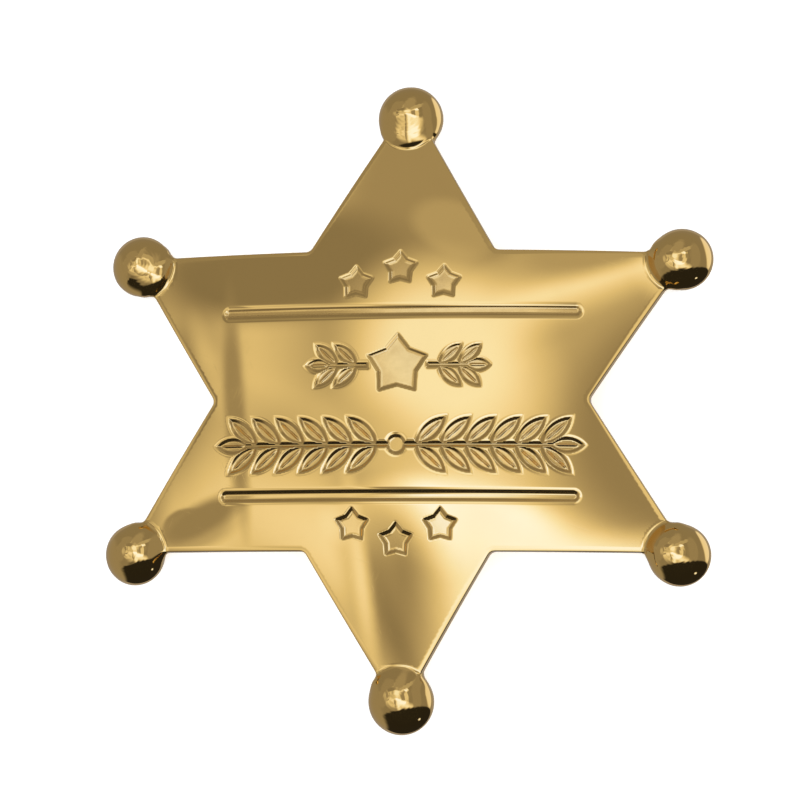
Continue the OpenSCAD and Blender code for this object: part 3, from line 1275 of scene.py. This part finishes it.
@dataclass(frozen=True)
class HandlingAndShade:
    """Traces of making and of being handled on plated metal: smudges, hairlines and turning rings; and
    painted shade on the pattern's walls.

    A noise has its scale in cells a metre, its detail and its roughness, and a range the values between which
    something sets in. Heights are shares of the bump's. Each set of hairlines has its direction in radians
    and how many times longer than wide they are. The painted shade darkens the metal where the pattern's
    walls go down, and less of it on the floor of a recess; where it lies, the metal is duller too.
    """

    name: str = "handling_and_shade"
    smudge_noise: tuple[float, float, float] = (120.0, 3.0, 0.55)
    smudge_range: tuple[float, float] = (0.45, 0.75)
    smudge_wear: float = 0.25
    smudge_stain: float = 0.05
    # painted shade on the pattern's walls: its noise, where it sets in, its least share, its strength, and
    # where it lies
    wall_shade_noise: tuple[float, float, float] = (420.0, 4.0, 0.6)
    wall_shade_range: tuple[float, float] = (0.3, 0.7)
    wall_shade_least: float = 0.35
    wall_shade_strength: float = 0.4
    wall_range: tuple[float, float] = (0.1, 0.5)
    floor_range: tuple[float, float] = (0.75, 1.0)
    floor_shade: float = 0.35
    hairline_scale: float = 7000.0
    hairlines: tuple[tuple[float, float], ...] = ((0.4, 26.0), (1.9, 34.0), (2.7, 19.0))
    hairline_range: tuple[float, float] = (0.72, 0.78)
    hairline_h: float = 0.12
    ring_rate: float = 58.0
    ring_range: tuple[float, float] = (0.0, 0.45)
    ring_h: float = 0.6
    peel_noise: tuple[float, float, float] = (260.0, 2.0, 0.5)
    peel_h: float = 0.35

    def group(self) -> bpy.types.NodeTree:
        """Makes the shader group.

        Returns:
            The group, which is made only once.
        """
        if self.name in bpy.data.node_groups:
            return bpy.data.node_groups[self.name]
        kind = "NodeSocketFloat"
        made = new_group(self.name, {"Scale": (kind, 1.0), "Pressed": (kind, 0.0), "Turned": (kind, 0.0),
                                     "Smooth": (kind, 0.03), "Dull": (kind, 0.2)},
                         {"Stain and shade": kind, "Roughness": kind, "Height": kind})
        n, given = Nodes(made), made.nodes["Group Input"].outputs
        at = n.add("ShaderNodeTexCoord").outputs["Object"]
        place = n.add("ShaderNodeVectorMath", {0: at, "Scale": given["Scale"]}, operation="SCALE").outputs[0]
        smudge = n.ramp(n.noise(place, *self.smudge_noise), *self.smudge_range, smooth=True)
        # painted shade: the pattern's walls get a darker tone and a duller finish
        wall_shade = self.wall_shade(n, place, given["Pressed"])
        wear = n.math("MAXIMUM", n.math("MULTIPLY", smudge, self.smudge_wear), wall_shade)
        span = n.math("SUBTRACT", given["Dull"], given["Smooth"])
        # the darker share is the smudges' stain plus the painted shade on the pattern's walls
        n.fill(made.nodes["Group Output"], {
            "Stain and shade": n.math("ADD", n.math("MULTIPLY", wall_shade, self.wall_shade_strength),
                            n.math("MULTIPLY", smudge, self.smudge_stain)),
            "Roughness": n.math("ADD", given["Smooth"], n.math("MULTIPLY", span, wear)),
            "Height": self.height(n, place, given["Turned"])})
        return made

    def wall_shade(self, n: Nodes, place: bpy.types.NodeSocket,
                pressed: bpy.types.NodeSocket) -> bpy.types.NodeSocket:
        """How much painted shade lies at each place of the pattern, more on a recess's walls than on its
        floor.

        Args:
            n: The group's nodes.
            place: Coordinates on the metal.
            pressed: How far the face is pressed in.

        Returns:
            A share from 0 to 1.
        """
        # painted shade, strongest on the walls of a recess and weaker on its floor
        slope = n.math("MULTIPLY", n.ramp(pressed, *self.wall_range, smooth=True),
                       n.ramp(pressed, *self.floor_range, 1.0, self.floor_shade, smooth=True))
        patches = n.ramp(n.noise(place, *self.wall_shade_noise), *self.wall_shade_range, self.wall_shade_least, 1.0)
        return n.math("MULTIPLY", slope, patches)

    def height(self, n: Nodes, place: bpy.types.NodeSocket,
               turned: bpy.types.NodeSocket) -> bpy.types.NodeSocket:
        """Height of the plating's unevenness, the turning rings and the hairlines.

        Args:
            n: The group's nodes.
            place: Coordinates on the metal.
            turned: How deep into a ball each place is.

        Returns:
            A height for the bump's node.
        """
        scratches = None
        for turn, stretch in self.hairlines:
            along = self.hairline_scale / stretch
            thin = n.vector("MULTIPLY", n.turned(place, turn), (self.hairline_scale, along, along))
            line = n.ramp(n.noise(thin, 1.0, 1.0), *self.hairline_range)
            scratches = line if scratches is None else n.math("MAXIMUM", scratches, line)
        rings = n.math("MULTIPLY", n.math("SINE", n.math("MULTIPLY", turned, self.ring_rate)),
                       n.ramp(turned, *self.ring_range, smooth=True))
        peel = n.math("MULTIPLY", n.noise(place, *self.peel_noise), self.peel_h)
        lines = n.math("SUBTRACT", n.math("MULTIPLY", rings, self.ring_h),
                       n.math("MULTIPLY", scratches, self.hairline_h))
        return n.math("ADD", peel, lines)


@dataclass(frozen=True)
class GoldPlating:
    """Gold-toned plating, bright on the front and plainer on the back of the sheet."""

    name: str = "polished_gold"
    colour: tuple[float, float, float] = (0.98, 0.66, 0.215)
    stain_and_shade: tuple[float, float, float] = (0.50, 0.30, 0.10)
    scale: float = 1.0
    smooth: float = 0.03
    plain: float = 0.24
    reverse_metal: float = 0.6
    dull: float = 0.2
    bump: float = 0.000002

    def material(self) -> bpy.types.Material:
        """Makes the material.

        Returns:
            The new material.
        """
        made = bpy.data.materials.new(self.name)
        made.use_nodes = True
        n = Nodes(made.node_tree)
        pressed, turned, reverse = (n.add("ShaderNodeAttribute", attribute_name=layer).outputs["Fac"]
                                    for layer in LAYERS)
        worn = n.add("ShaderNodeGroup", {"Scale": self.scale, "Pressed": pressed, "Turned": turned,
                                         "Smooth": self.smooth, "Dull": self.dull},
                     node_tree=HandlingAndShade().group()).outputs
        plainer = n.math("MULTIPLY", reverse, self.plain - self.smooth)
        # the darker colour stands for smudges and for painted shade on the pattern's walls
        stain_and_shade = {0: worn["Stain and shade"], 6: (*self.colour, 1.0), 7: (*self.stain_and_shade, 1.0)}
        uneven = {"Strength": 1.0, "Distance": self.bump, "Height": worn["Height"]}
        n.fill(made.node_tree.nodes["Principled BSDF"], {
            "Base Color": n.add("ShaderNodeMix", stain_and_shade, data_type="RGBA").outputs[2],
            "Metallic": n.ramp(reverse, 0.0, 1.0, 1.0, self.reverse_metal),
            "Roughness": n.math("ADD", worn["Roughness"], plainer),
            "Normal": n.add("ShaderNodeBump", uneven).outputs[0]})
        return made


@dataclass(frozen=True)
class Card:
    """One soft light or dark patch of the studio, as the face sees it.

    Places and sizes are in degrees from the camera's side of the badge, to the right and up, stretched away
    from it as a stereographic map is.
    """

    name: str
    x: float
    y: float
    half_w: float
    half_h: float
    turn: float
    soft: float
    tone: float

    def inputs(self) -> dict[str, object]:
        """Values of the patch's own sockets in the studio."""
        return {"Middle": (self.x, self.y, 0.0), "Half size": (self.half_w, self.half_h, 1.0),
                "Turn": math.radians(self.turn), "Soft": self.soft, "Card tone": self.tone}


@dataclass
class Studio:
    """Camera, soft surroundings and floor.

    The patches' tones go up to the top tone. Each of the tones says which light one of them stands for, as
    red, green and blue, none of them above the strength of the studio.
    """

    cards: tuple[Card, ...]
    tones: tuple[tuple[float, tuple[float, float, float]], ...]
    distance: float = 393.2
    tilt: tuple[float, float, float] = (-7.07, -11.27, 0.40)
    sensor: float = 36.0
    picture_px: float = 800.0
    pixels_per_mm: float = 10.0
    middle_px: tuple[float, float] = (396.2, 402.2)
    clip_m: tuple[float, float] = (0.02, 20.0)
    ground: float = 0.34
    top_tone: float = 1.6
    strength: float = 4.0
    white: float = 1.0
    floor_half: float = 1500.0
    floor_rows: int = 17
    paper: float = 0.9
    paper_rough: float = 0.9
    paper_glow: float = 0.55

    def axes(self) -> Matrix:
        """Right, up and back of the camera, as rows."""
        x, y, z = (math.radians(a) for a in self.tilt)
        return Matrix.Rotation(z, 3, "Z") @ Matrix.Rotation(y, 3, "Y") @ Matrix.Rotation(x, 3, "X")

    def camera(self, crown_z: float) -> bpy.types.Object:
        """Makes the camera, aimed past the top of the dome.

        Args:
            crown_z: Height of the dome's top.

        Returns:
            The new camera.
        """
        rows = self.axes()
        data = bpy.data.cameras.new("camera")
        made = bpy.data.objects.new("camera", data)
        bpy.context.scene.collection.objects.link(made)
        data.sensor_width = self.sensor
        data.lens = self.sensor * self.pixels_per_mm * self.distance / self.picture_px
        data.shift_x = (self.picture_px / 2 - self.middle_px[0]) / self.picture_px
        data.shift_y = (self.middle_px[1] - self.picture_px / 2) / self.picture_px
        data.clip_start, data.clip_end = self.clip_m
        place = Vector((0.0, 0.0, crown_z)) + self.distance * rows[2]
        made.matrix_world = Matrix.Translation(place * MM) @ rows.transposed().to_4x4()
        bpy.context.scene.camera = made
        return made

    def card_group(self) -> bpy.types.NodeTree:
        """Makes the group that lays one soft patch over the tones that are there already.

        Returns:
            The new group.
        """
        number, vector = "NodeSocketFloat", "NodeSocketVector"
        inputs = {"Tone": (number, 0.5), "Place": (vector, (0, 0, 0)), "Middle": (vector, (0, 0, 0)),
                  "Half size": (vector, (1, 1, 1)), "Turn": (number, 0.0), "Soft": (number, 0.5),
                  "Card tone": (number, 1.0)}
        group = new_group("studio_card", inputs, {"Tone": number})
        n, given = Nodes(group), group.nodes["Group Input"].outputs
        away = n.vector("SUBTRACT", given["Place"], given["Middle"])
        turned = n.turned(away, n.math("MULTIPLY", given["Turn"], -1.0))
        length = n.vector("LENGTH", n.vector("DIVIDE", turned, given["Half size"]), result="Value")
        outer, inner = (n.math(kind, 1.0, given["Soft"]) for kind in ("ADD", "SUBTRACT"))
        mask = n.ramp(length, outer, inner, smooth=True)
        mixed = n.add("ShaderNodeMix", {0: mask, 2: given["Tone"], 3: given["Card tone"]}, data_type="FLOAT")
        n.fill(group.nodes["Group Output"], {"Tone": mixed.outputs[0]})
        return group

    def mirrored(self, n: Nodes) -> bpy.types.NodeSocket:
        """Shader of the soft patches that polished metal mirrors, laid out round the camera's direction.

        Args:
            n: The world's nodes.

        Returns:
            Result of its Background node.
        """
        way = n.add("ShaderNodeTexCoord").outputs["Generated"]
        along = [n.vector("DOT_PRODUCT", way, tuple(axis), result="Value") for axis in self.axes()]
        over_one = 1.0001  # keeps the way straight behind the badge from being divided by 0
        near = n.math("DIVIDE", math.degrees(2.0), n.math("ADD", over_one, along[2]))
        parts = {axis: n.math("MULTIPLY", near, along[axis]) for axis in (0, 1)}
        place = n.add("ShaderNodeCombineXYZ", parts).outputs[0]
        group, tone = self.card_group(), self.ground
        for card in self.cards:
            tone = n.add("ShaderNodeGroup", {"Tone": tone, "Place": place, **card.inputs()},
                         node_tree=group, label=card.name).outputs["Tone"]
        ramp = n.add("ShaderNodeValToRGB", {0: n.math("DIVIDE", tone, self.top_tone)})
        stops = ramp.color_ramp.elements
        for at, colour in self.tones:
            stop = stops.new(at / self.top_tone)
            stop.color = (*(c / self.strength for c in colour), 1.0)
        stops.remove(stops[-1])
        stops.remove(stops[0])
        return n.add("ShaderNodeBackground", {"Color": ramp.outputs[0], "Strength": self.strength}).outputs[0]

    def surroundings(self) -> bpy.types.World:
        """Makes the world: a white room, and for polished metal the soft patches that it mirrors.

        Returns:
            The new world.
        """
        world = bpy.data.worlds.new("studio")
        bpy.context.scene.world = world
        world.use_nodes = True
        world.node_tree.nodes.clear()
        n = Nodes(world.node_tree)
        studio = self.mirrored(n)
        plain = n.add("ShaderNodeBackground", {"Color": WHITE, "Strength": self.white}).outputs[0]
        mirror = n.add("ShaderNodeLightPath").outputs["Is Glossy Ray"]
        both = n.add("ShaderNodeMixShader", {0: mirror, 1: plain, 2: studio}).outputs[0]
        n.add("ShaderNodeOutputWorld", {0: both})
        return world

    def floor(self) -> bpy.types.Object:
        """Makes the pale floor, which polished metal doesn't mirror and which is clear from below.

        Returns:
            The new object.
        """
        skin = Skin()
        at = self.floor_half * np.linspace(-1.0, 1.0, self.floor_rows) ** 3
        x, y = np.meshgrid(at, at)
        flat = np.c_[x.ravel(), y.ravel(), np.zeros(x.size)]
        skin.sheet(skin.add(flat, np.tile((0.0, 0.0, 1.0), (x.size, 1))).reshape(x.shape))
        made = skin.build("floor")
        paper = bpy.data.materials.new("paper_floor")
        paper.use_nodes = True
        n = Nodes(paper.node_tree)
        back = n.add("ShaderNodeNewGeometry").outputs["Backfacing"]
        n.fill(paper.node_tree.nodes["Principled BSDF"], {
            "Base Color": (self.paper, self.paper, self.paper, 1.0), "Roughness": self.paper_rough,
            "Specular IOR Level": 0.0, "Emission Color": WHITE, "Emission Strength": self.paper_glow,
            "Alpha": n.math("SUBTRACT", 1.0, back)})
        made.data.materials.append(paper)
        made.visible_glossy = False
        return made


PIN_PLATING = GoldPlating("pin_plating", colour=(0.90, 0.62, 0.26), stain_and_shade=(0.42, 0.29, 0.14), scale=1.6,
                          smooth=0.16, plain=0.16, dull=0.34, bump=0.000003)

STUDIO_TONES = (
    (0.0, (0.0, 0.0, 0.0)),
    (0.32, (0.33, 0.32, 0.335)),
    (0.77, (0.77, 0.77, 0.79)),
    (0.95, (0.91, 0.95, 1.16)),
    (1.14, (0.98, 1.14, 1.68)),
    (1.32, (1.04, 1.32, 2.55)),
    (1.5, (1.1, 1.5, 3.7)),
)

STUDIO_CARDS = (
    Card("far room", 0, 0, 270, 270, 0, 0.06, 0.25),
    Card("far window", 190, 70, 62, 130, 0, 0.15, 0.9),
    Card("room", -24, 14, 44, 42, 0, 0.25, 0.74),
    Card("back wall", -9, 52, 21, 47, -23, 0.3, 0.35),
    Card("left wall", -35, -1, 18, 10, -42, 0.4, 0.0),
    Card("ring light", -2, -13, 71, 10, -20, 1.0, 1.15),
    Card("lens", 14, 13, 16, 18.8, -50, 0.3, 0.3),
    Card("ring top", 16, 41, 31, 4, 30, 1.0, 1.6),
    Card("dark shelf", -41, 34, 19, 8, -2, 0.3, 0.25),
    Card("pale box", -16, 37, 6, 3.5, -28, 0.25, 0.45),
    Card("dark fold", -55, 15, 6, 12, -8, 1.0, 0.2),
    Card("end of the fold", -52, -1.5, 4, 2.5, 7, 0.1, 0.3),
    Card("sheet middle", -17, 20, 12, 10, -44, 0.5, 1.15),
    Card("sheet white", -17, -1, 13, 5.5, -6, 0.3, 1.6),
    Card("stand", -23, -13.5, 3, 14, 19, 1.0, 0.25),
    Card("stand core", -18, -12, 4.5, 16, 26, 0.7, 0.3),
    Card("stand left", -27.5, -6, 1, 10, 8, 1.0, 1.0),
    Card("stand right", -11, -17, 6, 21, 7, 0.8, 1.2),
    Card("top edge", 23, 46, 36, 7, 26, 0.15, 0.45),
    Card("low edge", -2, -5, 14, 3.5, -24, 1.0, 1.35),
    Card("left arm", -49, 19.5, 1.5, 6, 26, 0.9, 0.7),
    Card("upright fold", -45.1, 14, 1.5, 14, 7, 0.45, 0.33),
    Card("below the fold", -50.5, -2, 6, 2.5, 18, 0.4, 0.5),
    Card("lying fold", -50, -0.5, 7, 2, 25, 0.4, 0.3),
    Card("ring right", 17, 10, 6.5, 19, 0, 0.35, 0.8),
    Card("ring bottom", 5, -9, 15, 6, 4, 0.5, 1.35),
    Card("ring over", 17, 31, 8, 5, 0, 0.5, 1.3),
    Card("outside right", 62, 20, 24, 60, 0, 0.2, 0.3),
    Card("outside left", -82, 10, 26, 44, 0, 0.1, 0.3),
    Card("outside above", -60, 58, 31, 22, 0, 0.1, 0.3),
    Card("left edge", -66, 10, 7, 14, 12, 0.6, 0.55),
    Card("dark floor", 60, -170, 200, 145, 0, 0.03, 0.02),
    Card("left side", -260, -100, 180, 220, 0, 0.1, 0.3),
    Card("small window", 85, -92, 8, 6, -40, 0.5, 1.3),
)


def main() -> None:
    """Builds the badge and its studio, piece by piece."""
    logging.basicConfig(level=logging.INFO, format="%(name)s: %(message)s")
    plate = StarPlate()
    made = plate.dress(GoldPlating())
    LOG.info("pressing done: %s", made.name)
    made = PinBack(plate).dress(PIN_PLATING)
    LOG.info("bar pin done: %s", made.name)
    studio = Studio(STUDIO_CARDS, STUDIO_TONES)
    studio.camera(plate.crown_z)
    studio.surroundings()
    studio.floor()
    bpy.context.scene.view_settings.view_transform = "Standard"
    LOG.info("sizes written")


if __name__ == "__main__":
    main()
